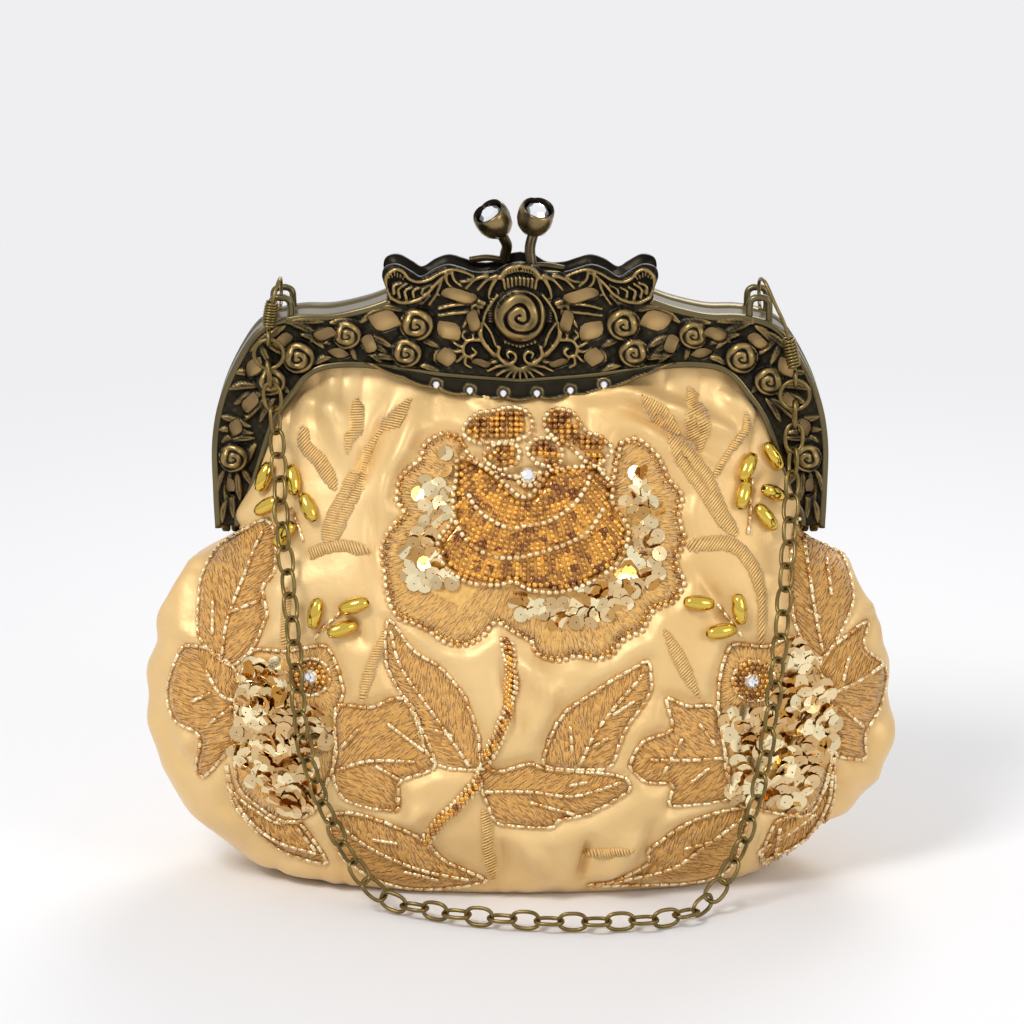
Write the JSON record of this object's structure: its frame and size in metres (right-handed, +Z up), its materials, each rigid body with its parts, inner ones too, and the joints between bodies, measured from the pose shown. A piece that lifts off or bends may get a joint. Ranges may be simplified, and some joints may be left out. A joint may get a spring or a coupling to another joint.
{
  "type": "beaded evening bag",
  "caption": "Small satin evening bag with a cast openwork metal frame, kiss-lock clasp, beaded flower applique on the front and a chain handle on wire clips.",
  "frame": {"origin": "middle of the pouch's flat base, on the table", "axes": "+X along the bag's width to its left-hand side as carried, -Y out of the beaded front, +Z up to the clasp"},
  "size_m": [0.2222, 0.1053, 0.2069],
  "materials": {
    "satin": "pale gold satin, glossy along its gathers",
    "lining_satin": "plain pale gold lining satin",
    "antique_brass": "cast, dark patina in the recesses and rubbed bright on the high edges",
    "crystal": "cut and clear",
    "seed_beads": "silver-lined amber seed beads with pale gold bugle rows",
    "sequins": "flat metallic gold sequins",
    "embroidery": "golden satin stitch edged with bugle beads",
    "gold_beads": "metallised gold oat beads",
    "chain_brass": "antiqued wire, rubbed bright"
  },
  "bodies": {
    "bag": {"pouch": "satin", "front_backing": "satin", "lining": "lining_satin", "front_frame": "antique_brass", "front_clasp_bud": "antique_brass", "hinge_pin_left": "antique_brass", "hinge_pin_right": "antique_brass", "rail_stone_1": "crystal", "rail_stone_2": "crystal", "rail_stone_3": "crystal", "rail_stone_4": "crystal", "rail_stone_5": "crystal", "rail_stone_6": "crystal", "front_clasp_stone": "crystal", "rose_crystal": "crystal", "left_flower_crystal": "crystal", "right_flower_crystal": "crystal", "rose_applique": "seed_beads", "beaded_stem": "seed_beads", "left_flower": "sequins", "right_flower": "sequins", "left_leaf_1": "embroidery", "left_leaf_2": "embroidery", "left_leaf_3": "embroidery", "left_leaf_4": "embroidery", "left_leaf_5": "embroidery", "left_leaf_6": "embroidery", "right_leaf_1": "embroidery", "right_leaf_2": "embroidery", "right_leaf_3": "embroidery", "right_leaf_4": "embroidery", "right_leaf_5": "embroidery", "right_leaf_6": "embroidery", "centre_leaf": "embroidery", "left_upper_spray": "gold_beads", "right_upper_spray": "gold_beads", "left_lower_spray": "gold_beads", "right_lower_spray": "gold_beads"},
    "back_half": {"back_frame": "antique_brass", "back_backing": "satin", "back_panel": "satin", "back_clasp_bud": "antique_brass", "back_clasp_stone": "crystal"},
    "strap": {"left_clip_hook": "chain_brass", "right_clip_hook": "chain_brass", "left_clip_spring": "chain_brass", "right_clip_spring": "chain_brass", "left_ring": "chain_brass", "right_ring": "chain_brass", "chain_run_1": "chain_brass", "chain_run_2": "chain_brass", "chain_run_3": "chain_brass", "chain_run_4": "chain_brass", "chain_run_5": "chain_brass", "chain_run_6": "chain_brass", "chain_run_7": "chain_brass", "chain_run_8": "chain_brass", "chain_run_9": "chain_brass"}
  },
  "joints": [
    {"name": "frame_hinge", "type": "hinge", "parent": "bag", "child": "back_half", "pos_m": [0, 0, 0.109], "axis": [-1, 0, 0], "range_deg": [0, 55]},
    {"name": "strap_swing", "type": "hinge", "parent": "bag", "child": "strap", "pos_m": [0, -0.0073, 0.1783], "axis": [-1, 0, 0], "range_deg": [0, 140]}
  ]
}
